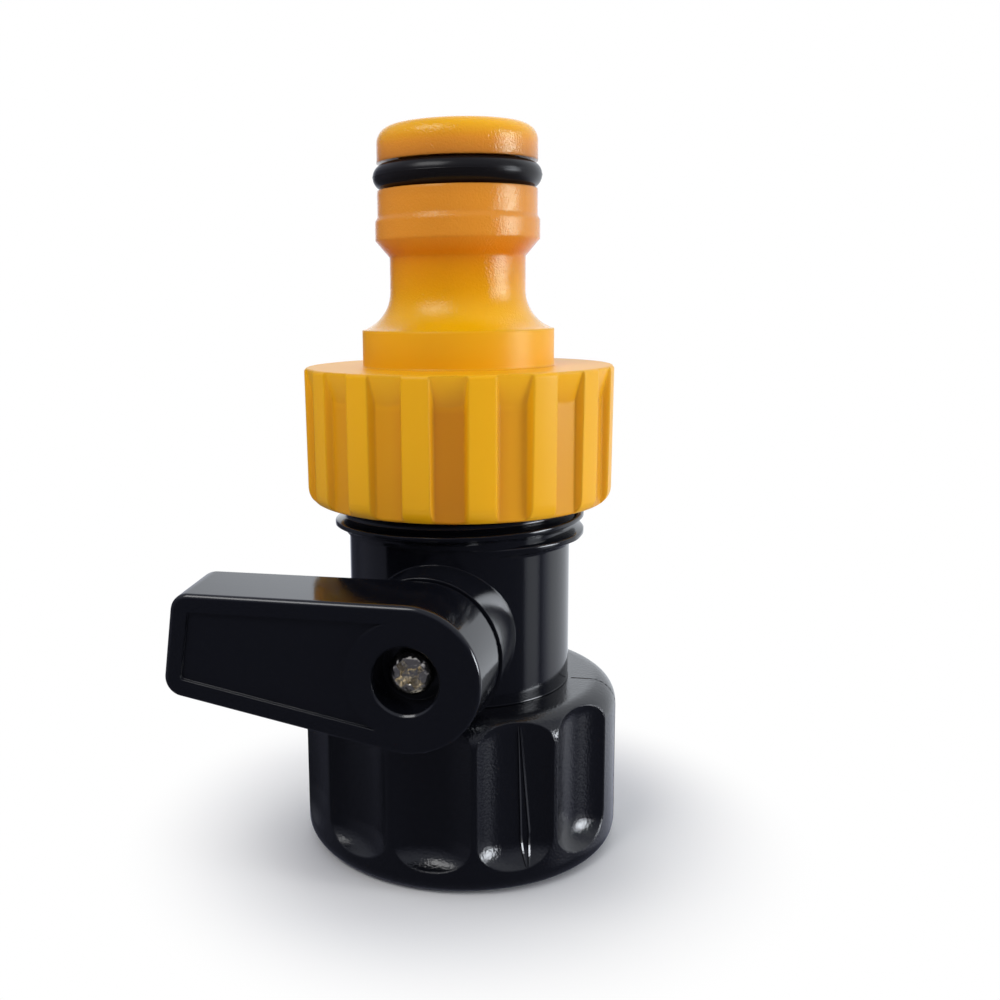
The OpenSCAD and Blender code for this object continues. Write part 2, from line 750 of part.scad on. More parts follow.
swivel_nut();
inlet_washer();
inlet_tailpiece();
tailpiece_ring();
lower_seat();
lower_seat_cushion();
valve_ball();
upper_seat();
upper_seat_cushion();
valve_body();
shaft();
slip_washer();
shaft_ring_inner();
shaft_ring_outer();
lever();
lever_screw();
hose_adapter();
adapter_washer();
nipple_ring();
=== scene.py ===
# %% [markdown]
# # A rain barrel faucet
# A swivel nut for the barrel's 3/4 inch outlet, a quarter-turn ball valve with a side lever, and a hose
# adapter with a push-on nipple. The solids come from the construction and stay as they are. This notebook
# adds what a mould or a thread-cutting tool leaves on them: threads, mould lines, grain, polish, colour.
#
# The whole could also be sculpted as one mesh, but then the lever, the nut and the adapter couldn't move.
# So every added piece is an object of its own, and rides on the body that carries it.

# %% the frame
import json
import math

import bpy
import numpy as np
from mathutils import Matrix, Vector


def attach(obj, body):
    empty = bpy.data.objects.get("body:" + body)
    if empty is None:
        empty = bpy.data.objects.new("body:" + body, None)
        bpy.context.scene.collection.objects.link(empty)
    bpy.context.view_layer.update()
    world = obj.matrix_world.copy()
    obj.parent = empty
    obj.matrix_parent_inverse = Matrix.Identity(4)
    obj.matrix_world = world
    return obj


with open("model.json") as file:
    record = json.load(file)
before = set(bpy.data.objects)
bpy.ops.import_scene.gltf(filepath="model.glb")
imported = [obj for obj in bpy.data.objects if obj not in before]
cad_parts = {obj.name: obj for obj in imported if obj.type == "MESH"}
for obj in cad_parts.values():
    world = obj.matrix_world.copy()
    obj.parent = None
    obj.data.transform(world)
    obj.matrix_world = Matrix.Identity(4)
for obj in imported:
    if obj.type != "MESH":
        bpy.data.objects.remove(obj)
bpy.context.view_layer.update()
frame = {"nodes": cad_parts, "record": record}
nodes = frame["nodes"]
MM = 0.001  # sizes are written in millimetres, and Blender counts in metres

# %% [markdown]
# ## Colour and nodes
# A finish is a net of shader nodes. It could be wired by hand in the shader editor, but a net that is
# written down can be read, repeated and corrected. Two tools are enough for it. One turns a colour, as a
# colour picker shows it, into the linear light that shaders count in. The other adds any node and joins it.


# %% colour and node tools
def rgb(hex_colour):
    """A hex colour, as a picker shows it, in linear light."""
    values = [int(hex_colour[i : i + 2], 16) / 255 for i in (1, 3, 5)]
    return tuple(v / 12.92 if v <= 0.04045 else ((v + 0.055) / 1.055) ** 2.4 for v in values) + (1,)


def node(tree, kind, *values, **named):
    """Adds a shader node. values fill its sockets in order. A name that starts with a capital is a socket,
    and any other is one of the node's own settings. A node given as a value stands for its first output."""
    made = tree.nodes.new("ShaderNode" + kind)
    sockets = list(enumerate(values))
    for name, value in named.items():
        if name[0].isupper():
            sockets.append((name.replace("_", " "), value))
        else:
            setattr(made, name, value)
    for place, value in sockets:
        if isinstance(value, bpy.types.Node):
            value = value.outputs[0]
        if isinstance(value, bpy.types.NodeSocket):
            tree.links.new(value, made.inputs[place])
        else:
            made.inputs[place].default_value = value
    return made


print("the grey #808080 is", round(rgb("#808080")[0], 3), "of full light")

# %% [markdown]
# ## A moulded or worked surface
# Seen close, no moulded face is a perfect mirror and no edge is sharp. The mould was polished or etched,
# and its corners were rounded so that the plastic could flow. This could all be modelled, with millions of
# faces. Here a fine noise tilts the light, and the Bevel node rounds the edges for the light alone, so the
# solids keep their shape.
#
# The noise is laid in the object's own metres, so its scale is one over the grain's width. A pixel of the
# picture covers about 0.1 mm, so a grain finer than 0.2 mm wouldn't show. Such a grain is drawn coarser.


# %% surface
def material(name, colour, roughness, grain_mm=0, relief_mm=0, edge_mm=0, **sockets):
    """One colour, with a grain of the given width and relief, and with edges of the given radius. Any other
    socket of the shader can be given by its name."""
    made = bpy.data.materials.new(name)
    made.use_nodes = True
    tree = made.node_tree
    shader = tree.nodes["Principled BSDF"]
    sockets.update(Base_Color=rgb(colour), Roughness=roughness)
    for socket, value in sockets.items():
        shader.inputs[socket.replace("_", " ")].default_value = value
    normal = None
    if edge_mm:
        normal = node(tree, "Bevel", Radius=edge_mm * MM, samples=6)
    if grain_mm:
        place = node(tree, "TexCoord").outputs["Object"]
        noise = node(tree, "TexNoise", Vector=place, Scale=1 / (grain_mm * MM), Detail=2.0)
        grain = node(tree, "Bump", Height=noise, Strength=1.0, Distance=relief_mm * MM)
        if normal:
            tree.links.new(normal.outputs[0], grain.inputs["Normal"])
        normal = grain
    if normal:
        tree.links.new(normal.outputs[0], shader.inputs["Normal"])
    return made


# %% [markdown]
# ## Black ABS
# The nut, the body and the lever are moulded in black ABS, a hard plastic that takes on the gloss of its
# mould. The same black comes from three kinds of mould surface, and only their gloss, their grain and the
# roundness of their edges tell them apart. So they share one colour, black with a trace of blue.

# %% black ABS
ABS = "#0d0e13"

# A polished mould gives a clear, dark mirror. Its slow waves, 0.4 mm wide, make the reflections tremble.
black = material("black ABS, polished mould", ABS, 0.11, 0.4, 0.004, edge_mm=0.15)

# The nut's mould is etched for grip, which breaks its highlights into sparkle. The real etching is about
# 0.1 mm wide and is drawn at 0.24 mm, to show. The nut's edges are the roundest.
black_etched = material("black ABS, etched mould", ABS, 0.13, 0.24, 0.034, edge_mm=0.3)

# Flash is the thin skin that is pressed out between two mould halves. It is smooth and gives one glint.
black_line = material("black ABS, thin flash", ABS, 0.12)

print("made:", "; ".join(finish.name for finish in (black, black_etched, black_line)))

# %% [markdown]
# ## Rubber, sliding plastics and steel
# The small pieces are each made of what suits their work. Rubber seals, so it is soft and a little dull.
# The ball's seats and the slip washer are PTFE, which slides well and is turned on a lathe. The ball is
# acetal, hard and polished, so that the seats close tightly on it. The screw is zinc-plated steel. One
# plain white would do for what is hidden, but each piece is seen when the valve is taken apart.

# %% rubber, sliding plastics and steel
# Nitrile rubber shines less than a hard plastic and its highlights are wide. Its skin's grain, finer than
# 0.1 mm, is drawn at 0.3 mm and very flat, so that it softens the highlight and no more.
rubber = material("black nitrile rubber, moulded", "#131112", 0.26, 0.3, 0.006, Specular_IOR_Level=0.22)

# PTFE is waxy: a milky white with hardly any mirror in it.
turned_white = material("white PTFE, turned", "#eceae2", 0.4)

# Polished acetal is as white, but has the sharp highlight of a billiard ball.
polished_white = material("white acetal, polished", "#e9e7df", 0.12)

# Zinc plating is bright. Its slight warmth is a painted reflection, standing in for the warm light that the
# screw mirrors. The driver has bruised the screw's head, so it mirrors the room in broken facets. The dents
# are 1.1 mm wide, and drawn deeper than real ones so that the facets show.
steel = material("zinc-plated steel, worn by a driver", "#ece3cf", 0.17, 1.1, 0.45, edge_mm=0.1, Metallic=1.0)

print("made:", "; ".join(finish.name for finish in (rubber, turned_white, polished_white, steel)))

# %% [markdown]
# ## Yellow polypropylene: colour and painted shade over the height
# The hose adapter is moulded in a yellow polypropylene that lets some light through. Its thick foot is a
# full yellow, its own colour. Above it the colour holds painted shade: deeper on the slim neck and under
# the ridge, where shade falls, and darker beside the black rubber ring, which takes the light that would
# shine through. On the nipple it is also paler, a painted haze of its gloss. Light that really travels
# through the wall would give some of this, but it needs many samples to get rid of its speckle. So a
# little of it is kept, and a colour ramp up the adapter paints the rest.

# %% colour and painted shade over the height
# Only SOLID is the plastic's own yellow. The other stops are painted shade on the slim neck, under the ridge
# and beside the black ring, and painted haze of the nipple's gloss.
SOLID, NECK_SHADE, RIDGE_SHADE, SHADE_AND_HAZE, RING_SHADE = "#f3af06", "#de8c0c", "#db7c12", "#df8e2c", "#c2782c"
YELLOW_AT = (  # height in mm and colour: foot, slim neck, nipple, rubber ring, mouth
    (50.9, SOLID), (56.0, SOLID), (61.0, NECK_SHADE), (62.4, RIDGE_SHADE), (64.0, SHADE_AND_HAZE), (67.5, SHADE_AND_HAZE), (71.5, RING_SHADE),
    (72.8, SHADE_AND_HAZE), (74.4, SOLID),
)


def colour_by_height(tree, z):
    """A colour ramp that takes its stops from YELLOW_AT: the foot's own yellow, with painted shade and haze
    above it.
    """
    low, high = YELLOW_AT[0][0], YELLOW_AT[-1][0]
    ramp = node(tree, "ValToRGB", node(tree, "MapRange", z, low * MM, high * MM))
    stops = ramp.color_ramp.elements
    stops.remove(stops[1])
    for height, colour in YELLOW_AT:
        stops.new((height - low) / (high - low)).color = rgb(colour)
    stops.remove(stops[0])
    return ramp


print("yellow has", len(YELLOW_AT), "colours over", round(YELLOW_AT[-1][0] - YELLOW_AT[0][0], 1), "mm")

# %% [markdown]
# ## Yellow polypropylene: painted shade in the collar's grooves
# The collar's ribs give a hand its grip. Each groove's floor is painted a darker amber as painted shade
# for the hollow, and most so in front, where the groove faces the dim side of the room by the camera.
# Each floor could have a material slot of its own, but its colour would end at a hard line. The angle
# round the collar gives a soft one: its cosine, taken 16 times a turn, peaks in the middle of every groove.

# %% painted shade in the grooves
RIBS, GROOVE_TURN = 16, 8.25  # number of ribs, and the azimuth of the front groove's middle in degrees
COLLAR_R, COLLAR_TOP = 16.1, 50.9
GROOVE_FLOOR_W, GROOVE_MOUTH_W = 2.8, 3.8
RAMP_FROM, RAMP_TO = 0.4, 3.6  # a groove's floor rises to the surface this far below the collar's top
# Painted shade: the darker colour of a groove's floor, and how much of it lies there, elsewhere and in front.
GROOVE_SHADE = "#bc640c"
SHADE_ELSEWHERE, SHADE_IN_FRONT = 0.38, 0.66  # how much of the amber shows on a groove's floor
FRONT_REACH = 0.93  # cosine of the angle from the front groove at which its share has ended


def painted_groove_shade(tree, x, y, z):
    """The share of painted shade: 0 on a rib, and up to SHADE_IN_FRONT on the floor of a groove. The azimuth is
    0 at the lever's side.
    """
    azimuth = node(tree, "Math", x, node(tree, "Math", y, -1.0, operation="MULTIPLY"), operation="ARCTAN2")
    at_groove = -RIBS * math.radians(GROOVE_TURN)
    from_groove = node(tree, "Math", azimuth, RIBS, at_groove, operation="MULTIPLY_ADD")
    wave = node(tree, "Math", from_groove, operation="COSINE")
    from_front = node(tree, "Math", azimuth, math.radians(GROOVE_TURN), operation="SUBTRACT")
    front = node(tree, "Math", from_front, operation="COSINE")
    most = node(tree, "MapRange", front, FRONT_REACH, 1.0, SHADE_ELSEWHERE, SHADE_IN_FRONT)
    # The wave's values at the edges of a groove's mouth and of its floor.
    mouth, floor = (math.cos(RIBS * width / 2 / COLLAR_R) for width in (GROOVE_MOUTH_W, GROOVE_FLOOR_W))
    groove = node(tree, "MapRange", wave, mouth, floor, 0.0, most)
    below_top = node(tree, "MapRange", z, (COLLAR_TOP - RAMP_FROM) * MM, (COLLAR_TOP - RAMP_TO) * MM)
    return node(tree, "Math", groove, below_top, operation="MULTIPLY")


print("grooves:", RIBS, "round the collar, one every", 360 / RIBS, "degrees")

# %% [markdown]
# ## Yellow polypropylene: two mould surfaces
# The foot and the collar come from a lightly polished mould, so they are satin. The nipple's mould was
# spark-eroded, which leaves small round craters, so the nipple's gloss breaks up into glitter. One function
# makes both, because all else about them is the same.

# %% yellow polypropylene
DEPTH_OF_LIGHT = (1.6 * MM, 0.8 * MM, 0.2 * MM)  # how far red, green and blue light go into the plastic


def yellow_plastic(name, roughness, grain_mm, relief_mm):
    """A plastic that lets light in. The cool window's light looks pink over yellow, though the real
    highlights are warm, so a tint takes the pink out. Red light goes deepest into the plastic."""
    made = material(
        name, SOLID, roughness, grain_mm, relief_mm, edge_mm=0.4,
        Specular_IOR_Level=0.35, Specular_Tint=rgb("#e4ffe7"),
        Subsurface_Weight=0.1, Subsurface_Radius=DEPTH_OF_LIGHT, Subsurface_Scale=1.0,
    )
    tree = made.node_tree
    x, y, z = node(tree, "SeparateXYZ", node(tree, "TexCoord").outputs["Object"]).outputs
    # The base colour holds painted shade: the ramp's shade and haze up the adapter, and the groove floors'
    # darker amber.
    colour_and_shade = node(tree, "MixRGB", painted_groove_shade(tree, x, y, z), colour_by_height(tree, z), rgb(GROOVE_SHADE))
    tree.links.new(colour_and_shade.outputs[0], tree.nodes["Principled BSDF"].inputs["Base Color"])
    return made


# A satin face: wide, quiet highlights, hardly disturbed by slow waves 0.8 mm wide.
yellow = yellow_plastic("yellow polypropylene, polished mould", 0.38, 0.8, 0.006)

# Real craters are about 0.05 mm wide. They are drawn at 0.2 mm, the finest that shows as glitter.
yellow_sparked = yellow_plastic("yellow polypropylene, spark-eroded mould", 0.07, 0.2, 0.055)

print("made:", yellow.name + ";", yellow_sparked.name + ";", len(yellow.node_tree.nodes), "nodes each")

# %% [markdown]
# ## Finishes on the solids
# Each solid's row in the record names the stuff it is made of, so the finishes go on by that name. Two
# pieces differ from the rest: the nut is the one that is etched, and the hose adapter is one moulding with
# two surfaces, so its faces above the foot take a second material.

# %% finishes on the solids
FOOT_TOP = 54.65  # height at which the nipple's plain foot ends and its flare begins
FINISH = {
    "black_plastic": black, "yellow_plastic": yellow, "black_rubber": rubber, "seat_plastic": turned_white,
    "ball_plastic": polished_white, "steel": steel,
}
for part in frame["record"]["subparts"]:
    mesh = nodes[part["node"]].data
    mesh.materials.clear()
    mesh.materials.append(FINISH[part["material_slot"]])
nodes["swivel_nut"].data.materials[0] = black_etched

adapter = nodes["hose_adapter"].data
adapter.materials.append(yellow_sparked)
for face in adapter.polygons:
    face.material_index = int(face.center.z > FOOT_TOP * MM)
print("spark-eroded faces:", sum(face.material_index for face in adapter.polygons), "of", len(adapter.polygons))

# %% [markdown]
# ## The lever's smooth outline
# The lever's curved edge reaches Blender as many narrow flats, and each would mirror the room on its own.
# Shading by angle would smooth them, but it would also pull the light across the lever's large flat faces.
# Here the normals are averaged by area wherever two flats meet at less than 30 degrees, so the edge shines
# as one curve and the faces stay flat.

# %% smooth outline
MEET_DEGREES = 30
PER_METRE = 1e6  # corners are the same where they agree to a micrometre


def corner_key(mesh, vertex):
    """A corner's place, rounded so that equal corners of different faces are found together."""
    return tuple(round(c * PER_METRE) for c in mesh.vertices[vertex].co)


def smooth_flats(mesh):
    """Turns each corner's normal to the mean of the faces that meet there at a small enough angle."""
    meeting = {}
    for face in mesh.polygons:
        for vertex in face.vertices:
            meeting.setdefault(corner_key(mesh, vertex), []).append((face.normal.copy(), face.area))
    least = math.cos(math.radians(MEET_DEGREES))
    normals = [None] * len(mesh.loops)
    for face in mesh.polygons:
        for loop in face.loop_indices:
            faces = meeting[corner_key(mesh, mesh.loops[loop].vertex_index)]
            near = [normal * area for normal, area in faces if normal.dot(face.normal) > least]
            normals[loop] = sum(near, Vector()).normalized()
    mesh.normals_split_custom_set(normals)
    print("smoothed", len(mesh.loops), "corners of", len(mesh.polygons), "faces")


smooth_flats(nodes["lever"].data)

# %% [markdown]
# ## Threads: the form
# A thread is a ridge of rounded triangles that climbs one pitch a turn. It could be swept along a helix,
# but its ends would need closing by hand. Here it is a fine sleeve whose radius swells wherever the ridge
# passes, and the ridge can fade in and out anywhere. The height of the ridge follows from the turns since
# the last crest: a cosine, steepened to straight flanks and cut flat at its ends.

# %% thread form
PITCH = 1.814  # 14 threads to the inch
THREAD_R, CORE_R = 13.2, 12.04  # the 3/4 inch pipe thread over its crests and in its grooves
FLANKS = 1.25  # how much steeper the flanks are than a plain cosine's
CREST_FLAT = 0.02  # share of the height that is cut off at each end


def ridge(turns):
    """Height of the form, from 0 in the groove to 1 on the crest."""
    slope = 0.5 + 0.5 * np.cos(2 * np.pi * turns)
    return np.clip((slope - 0.5) * FLANKS + 0.5, CREST_FLAT, 1 - CREST_FLAT)


def fade(value, none, full):
    """0 where value is at none, 1 where it is at full."""
    return np.clip((value - none) / (full - none), 0, 1)


print("thread depth", round(THREAD_R - CORE_R, 2), "mm, pitch", PITCH, "mm")

# %% [markdown]
# ## Threads: the sleeve
# The sleeve is a grid of points, 240 round and one row for each 0.1 mm of height. That is fine enough for
# 18 rows on every ridge. The height of the crest on the lever's side was read from the photo, and it fixes
# how the thread is turned.

# %% thread sleeve
CREST_AT = 34.93  # height of the crest on the lever's side (-Y)
STEPS_ROUND, STEP = 240, 0.1
print("a point every", round(2 * math.pi * THREAD_R / STEPS_ROUND, 2), "mm round and", STEP, "mm up")


def piece(name, points, faces, body, finish):
    """A mesh from points in millimetres, in one finish, that rides on a body."""
    mesh = bpy.data.meshes.new(name)
    mesh.from_pydata((np.array(points) * MM).tolist(), [], faces)
    mesh.materials.append(finish)
    made = bpy.data.objects.new(name, mesh)
    bpy.context.scene.collection.objects.link(made)
    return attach(made, body)


def thread_sleeve(name, z_span, radius_at, body, finish, inside=False):
    """radius_at takes the ridge's height, the degrees climbed from the crest on the lever's side, and z."""
    low, high = z_span
    z = np.linspace(low, high, int((high - low) / STEP) + 1)[:, None]
    azimuth = np.linspace(-np.pi, np.pi, STEPS_ROUND, endpoint=False)[None, :]
    turns = (z - CREST_AT) / PITCH - azimuth / (2 * np.pi)
    climbed = 360 * np.round(turns) + np.degrees(azimuth)
    radius = radius_at(ridge(turns), climbed, z)
    place = np.stack([radius * np.sin(azimuth), -radius * np.cos(azimuth), z + 0 * azimuth], -1)
    faces = []
    for row in range(len(z) - 1):
        a, b = row * STEPS_ROUND, (row + 1) * STEPS_ROUND
        for i in range(STEPS_ROUND):
            j = (i + 1) % STEPS_ROUND
            corners = (a + i, a + j, b + j, b + i)
            faces.append(corners[::-1] if inside else corners)
    made = piece(name, place.reshape(-1, 3), faces, body, finish)
    made.data.shade_smooth()
    print(name, "turns", round((high - low) / PITCH, 1), "times with", len(faces), "faces")


# %% [markdown]
# ## Threads: body, nut and adapter
# The body's ridge runs out near its lower end. It is full down to the lever's right and gone again before
# it reaches the lever, where the sleeve sinks into the body. The nut and the adapter carry the matching
# grooves inside, so their ridges point inwards. They stand a little clear of the body's crests, as threads
# that turn have to.

# %% three threads
BODY_THREAD, NUT_THREAD, ADAPTER_THREAD = (32.4, 46.0), (0.0, 9.5), (36.8, 48.0)  # lower and upper end
RUN_OUT = (-345, -285)  # degrees climbed at which the body's ridge is gone, and at which it is full
BODY_END, BODY_BEVEL = 1.0, 0.8  # the ridge fades over the first, and the sleeve stops below the second
NUT_RIM = 0.3  # the nut's sleeve starts this far inside the rim
SKIN, SUNK = 0.01, 0.5  # how far the body's sleeve stands out of the body, or lies in it without a ridge
PLAY = 0.04  # how far the inner threads stand off the body's


def male(height, climbed, z):
    """The body's thread, which points outwards and sinks into the body where its ridge has run out."""
    full = fade(climbed, *RUN_OUT) * fade(z, BODY_THREAD[1], BODY_THREAD[1] - BODY_END)
    sunk = SUNK * (1 - full) * (z < BODY_THREAD[1] - BODY_END)
    return CORE_R + SKIN + (THREAD_R - CORE_R) * height * full - sunk


def female(z_span, lead_in, lead_out, gap=0.0):
    """A thread that points inwards. Its ridge fades in and out over the leads, and stays gap further out."""

    def radius_at(height, climbed, z):
        ends = fade(z, z_span[0], z_span[0] + lead_in) * fade(z, z_span[1], z_span[1] - lead_out)
        return THREAD_R + PLAY - (THREAD_R - CORE_R - gap) * (1 - height) * ends

    return radius_at


body_span = (BODY_THREAD[0], BODY_THREAD[1] - BODY_BEVEL)
nut_span = (NUT_THREAD[0] + NUT_RIM, NUT_THREAD[1])
nut_form = female(NUT_THREAD, lead_in=1.2, lead_out=0.8)
adapter_form = female(ADAPTER_THREAD, lead_in=1.0, lead_out=0.5, gap=0.02)
thread_sleeve("body_thread", body_span, male, "valve", black)
thread_sleeve("nut_thread", nut_span, nut_form, "nut", black, inside=True)
thread_sleeve("adapter_thread", ADAPTER_THREAD, adapter_form, "adapter", yellow, inside=True)

# %% [markdown]
# ## Mould marks: strips
# Where two mould halves meet they leave a fine raised line. Bump in the material could hint at it, but it
# wouldn't stand out at the outline. So each mark is a narrow strip of mesh that follows the surface a few
# hundredths of a millimetre proud of it. Places on the nut are given by azimuth, in degrees from the
# lever's side (-Y) towards +X.

# %% strips
UP = Vector((0, 0, 1))


def toward(azimuth, elevation=0):
    """The direction of an azimuth and a height above the horizon, in degrees."""
    a, e = math.radians(azimuth), math.radians(elevation)
    return Vector((math.sin(a) * math.cos(e), -math.cos(a) * math.cos(e), math.sin(e)))


def strip(name, sections, body, finish):
    """Joins sections, each a row of points in millimetres, into a surface that rides on a body."""
    wide = len(sections[0])
    faces = []
    for row in range(len(sections) - 1):
        for i in range(wide - 1):
            a, b = row * wide + i, (row + 1) * wide + i
            faces.append((a, b, b + 1, a + 1))
    print(name, "has", len(faces), "faces")
    return piece(name, [point for section in sections for point in section], faces, body, finish)


# %% [markdown]
# ## Mould marks: flash on the nut
# The nut's two mould halves part on its plain lands, one on each side. The line of flash follows the land's
# outline, from the hole in its top over the rounded shoulder and down to the rounded foot. It is 0.12 mm
# wide and 0.045 mm high: just enough for one bright thread of light. A curve with a bevel could draw it,
# but a strip of two faces can have its edges sunk in the nut, so that no gap shows under it.

# %% flash on the nut
NUT_R, NUT_H, NUT_HOLE_R = 16.8, 17.5, 11.8
NUT_TOP_ROUND, NUT_FOOT_ROUND = 2.6, 2.0
NUT_TURN = 1.4  # azimuth of the nut's front flute
FLASH_W, FLASH_H, FLASH_SUNK = 0.12, 0.045, 0.02  # sunk: how far its edges lie under the surface


def arc(middle_r, middle_z, radius, start, end, steps=8):
    """Points of radius and height along a rounded edge, between two angles in degrees."""
    angles = np.radians(np.linspace(start, end, steps))
    return [(middle_r + radius * math.cos(a), middle_z + radius * math.sin(a)) for a in angles]


def flash_line(name, outline, azimuth, body, finish):
    """A ridge along an outline of radius and height, at an azimuth."""
    out, along = toward(azimuth), toward(azimuth + 90)
    path = [out * r + UP * z for r, z in outline]
    sections = []
    for i, point in enumerate(path):
        run = (path[min(i + 1, len(path) - 1)] - path[max(i - 1, 0)]).normalized()
        proud = along.cross(run).normalized()
        side, base = along * FLASH_W / 2, point - proud * FLASH_SUNK
        sections.append([base - side, point + proud * FLASH_H, base + side])
    strip(name, sections, body, finish)


land_outline = (
    [(NUT_HOLE_R + 0.3, NUT_H)]  # just outside the hole
    + arc(NUT_R - NUT_TOP_ROUND, NUT_H - NUT_TOP_ROUND, NUT_TOP_ROUND, 90, 0)
    + arc(NUT_R - NUT_FOOT_ROUND, NUT_FOOT_ROUND, NUT_FOOT_ROUND, 0, -80)  # just short of the open end
)
for side, turn in (("right", 90), ("left", -90)):
    flash_line("nut_flash_" + side, land_outline, NUT_TURN + turn, "nut", black_line)

# %% [markdown]
# ## Mould marks: a flute's floor
# The nut's flutes are scoops, cut by a round tool with a rounded nose, so their floors are hollow across
# and curve out at the foot. What lies on such a floor has to follow it. A shrinkwrap modifier could press a
# flat strip onto the solid, but it would also follow the solid's small facets. The tool's own sizes give
# the floor's exact place.

# %% a flute's floor
FLUTE_PITCH, FLUTE_FOOT = 29.3, 2.5  # degrees from one flute to the next, and the height where they start
CUTTER_R, CUTTER_AT, NOSE_R = 7.4, 22.55, 3.3  # the tool, its distance from the nut's axis, its nose


def flute_floor(across, z):
    """Distance of a flute's floor from the nut's axis, beside the flute's middle."""
    nose_middle = FLUTE_FOOT + math.sqrt(NOSE_R ** 2 - (NOSE_R - NUT_R + CUTTER_AT - CUTTER_R) ** 2)
    radius = CUTTER_R - NOSE_R + math.sqrt(NOSE_R ** 2 - min(z - nose_middle, 0) ** 2)
    return CUTTER_AT - math.sqrt(radius ** 2 - across ** 2)


print("a flute is", round(NUT_R - flute_floor(0, NUT_H / 2), 2), "mm deep")

# %% [markdown]
# ## Mould marks: the rib in one flute
# A low leaf-shaped rib stands in one flute, right of the lever. It may be the trace of a mended mould. Its
# left edge is nearly upright, its right edge leans out, and they close in a round end near the nut's foot.
# Both edges are raised lips that lean to the right, towards the window, so each shows as a bright line.

# %% rib in one flute
RIB_TOP, RIB_FOOT, RIB_ROWS = 16.7, 2.7, 60
RIB_LEFT, LEFT_LEAN = 0.66, 0.024  # the left edge's place at the top, and what it moves for each mm down
RIB_W, RIB_WIDENS = 0.15, 0.06  # the width at the top, and what it gains for each mm down
RIB_END, END_ROUND = 2.6, 3.0  # where the edges would meet, and the height of the round end
RIB_H, LEFT_LIP_H, RIGHT_LIP_H = 0.05, 0.1, 0.12  # the middle over the floor, and the lips over the middle
LIP_W, RIB_SIDE, UNDER = 0.19, 0.08, -0.02  # width of a lip and of a side, and how deep the sides go

rib_at = NUT_TURN + FLUTE_PITCH
rib_out, rib_along = toward(rib_at), toward(rib_at + 90)
rows = []
for z in np.linspace(RIB_TOP, RIB_FOOT, RIB_ROWS):
    fallen = RIB_TOP - z
    left = RIB_LEFT + LEFT_LEAN * fallen
    right = left + (RIB_W + RIB_WIDENS * fallen) * min(1, (z - RIB_END) / END_ROUND) ** 0.5
    outline = (
        (left - RIB_SIDE, UNDER), (left, RIB_H + LEFT_LIP_H), (left + LIP_W, RIB_H),
        (right - RIB_SIDE, RIB_H), (right, RIB_H + RIGHT_LIP_H), (right + LIP_W, RIB_H),
        (right + LIP_W + RIB_SIDE, UNDER),
    )
    rows.append([rib_out * (flute_floor(at, z) + h) + rib_along * at + UP * z for at, h in outline])
strip("flute_rib", rows, "nut", black_line)

# %% [markdown]
# ## Mould marks: hoops
# Two more lines run right round. Flash stands where the body meets the nut, and the rubber ring has the
# line of its own mould at its widest place. Blender could spin a profile with its Screw modifier, but here
# the strip function is at hand, so a short profile is carried round the water way in 120 steps. The ring's
# size is measured on its solid, so that the line lies on it.

# %% hoops
BODY_R, ROUND_STEPS = 11.7, 120
FOOT_FLASH = (0.01, 0.1, 0.2)  # the foot, crest and top of the line where the body stands on the nut
FOOT_FLASH_H, RING_FLASH_W, RING_FLASH_H = 0.05, 0.14, 0.035


def hoop(name, profile, body, finish):
    """A ring round the water way, from a profile of radius and height."""
    rims = [toward(azimuth) for azimuth in np.linspace(0, 360, ROUND_STEPS + 1)]
    made = strip(name, [[rim * r + UP * z for r, z in profile] for rim in rims], body, finish)
    made.data.shade_smooth()


foot, crest, top = (NUT_H + height for height in FOOT_FLASH)
sunk_r = BODY_R - FLASH_SUNK
hoop("foot_flash", [(sunk_r, top), (BODY_R + FOOT_FLASH_H, crest), (sunk_r, foot)], "valve", black_line)

ring = nodes["nipple_ring"]
points = np.array([ring.matrix_world @ v.co for v in ring.data.vertices]) / MM
ring_r, ring_z = np.hypot(points[:, 0], points[:, 1]).max(), (points[:, 2].min() + points[:, 2].max()) / 2
sunk_r, half = ring_r - FLASH_SUNK, RING_FLASH_W / 2
ring_profile = [(sunk_r, ring_z - half), (ring_r + RING_FLASH_H, ring_z), (sunk_r, ring_z + half)]
hoop("ring_flash", ring_profile, "adapter", rubber)
print("rubber ring: radius", round(ring_r, 2), "mm at height", round(ring_z, 2), "mm")

# %% [markdown]
# ## Camera
# The camera was fitted to the photo's edges, with the object's height at 75 mm. It stands about 12 cm away
# and looks slightly down. The fit gave its place and three turns, and the matrix is built from them
# directly. Aiming it at a point would be simpler, but would lose the small roll. The shift moves the
# picture in its frame without turning the camera, as cropping does.

# %% camera
EYE = Vector((23.81, -116.82, 57.98)) * MM
HEADING, PITCH_DOWN, ROLL = math.radians(-14.56), 0.16695, -0.01429  # in radians
forward = Vector((
    math.sin(HEADING) * math.cos(PITCH_DOWN), math.cos(HEADING) * math.cos(PITCH_DOWN), -math.sin(PITCH_DOWN),
))
level_right = Vector((math.cos(HEADING), -math.sin(HEADING), 0))
level_down = forward.cross(level_right)
right = level_right * math.cos(ROLL) - level_down * math.sin(ROLL)
down = level_right * math.sin(ROLL) + level_down * math.cos(ROLL)

camera = bpy.data.objects.new("camera", bpy.data.cameras.new("camera"))
bpy.context.scene.collection.objects.link(camera)
camera.matrix_world = Matrix.Translation(EYE) @ Matrix((right, -down, -forward)).transposed().to_4x4()
camera.data.lens = 40.745  # mm, for a sensor 36 mm wide
camera.data.shift_x, camera.data.shift_y = 0.1005, -0.012  # in widths of the picture
camera.data.clip_start = 0.005
bpy.context.scene.camera = camera
wide = round(math.degrees(camera.data.angle), 1)
print("the view is", wide, "degrees wide, from", round(EYE.xy.length / MM), "mm")

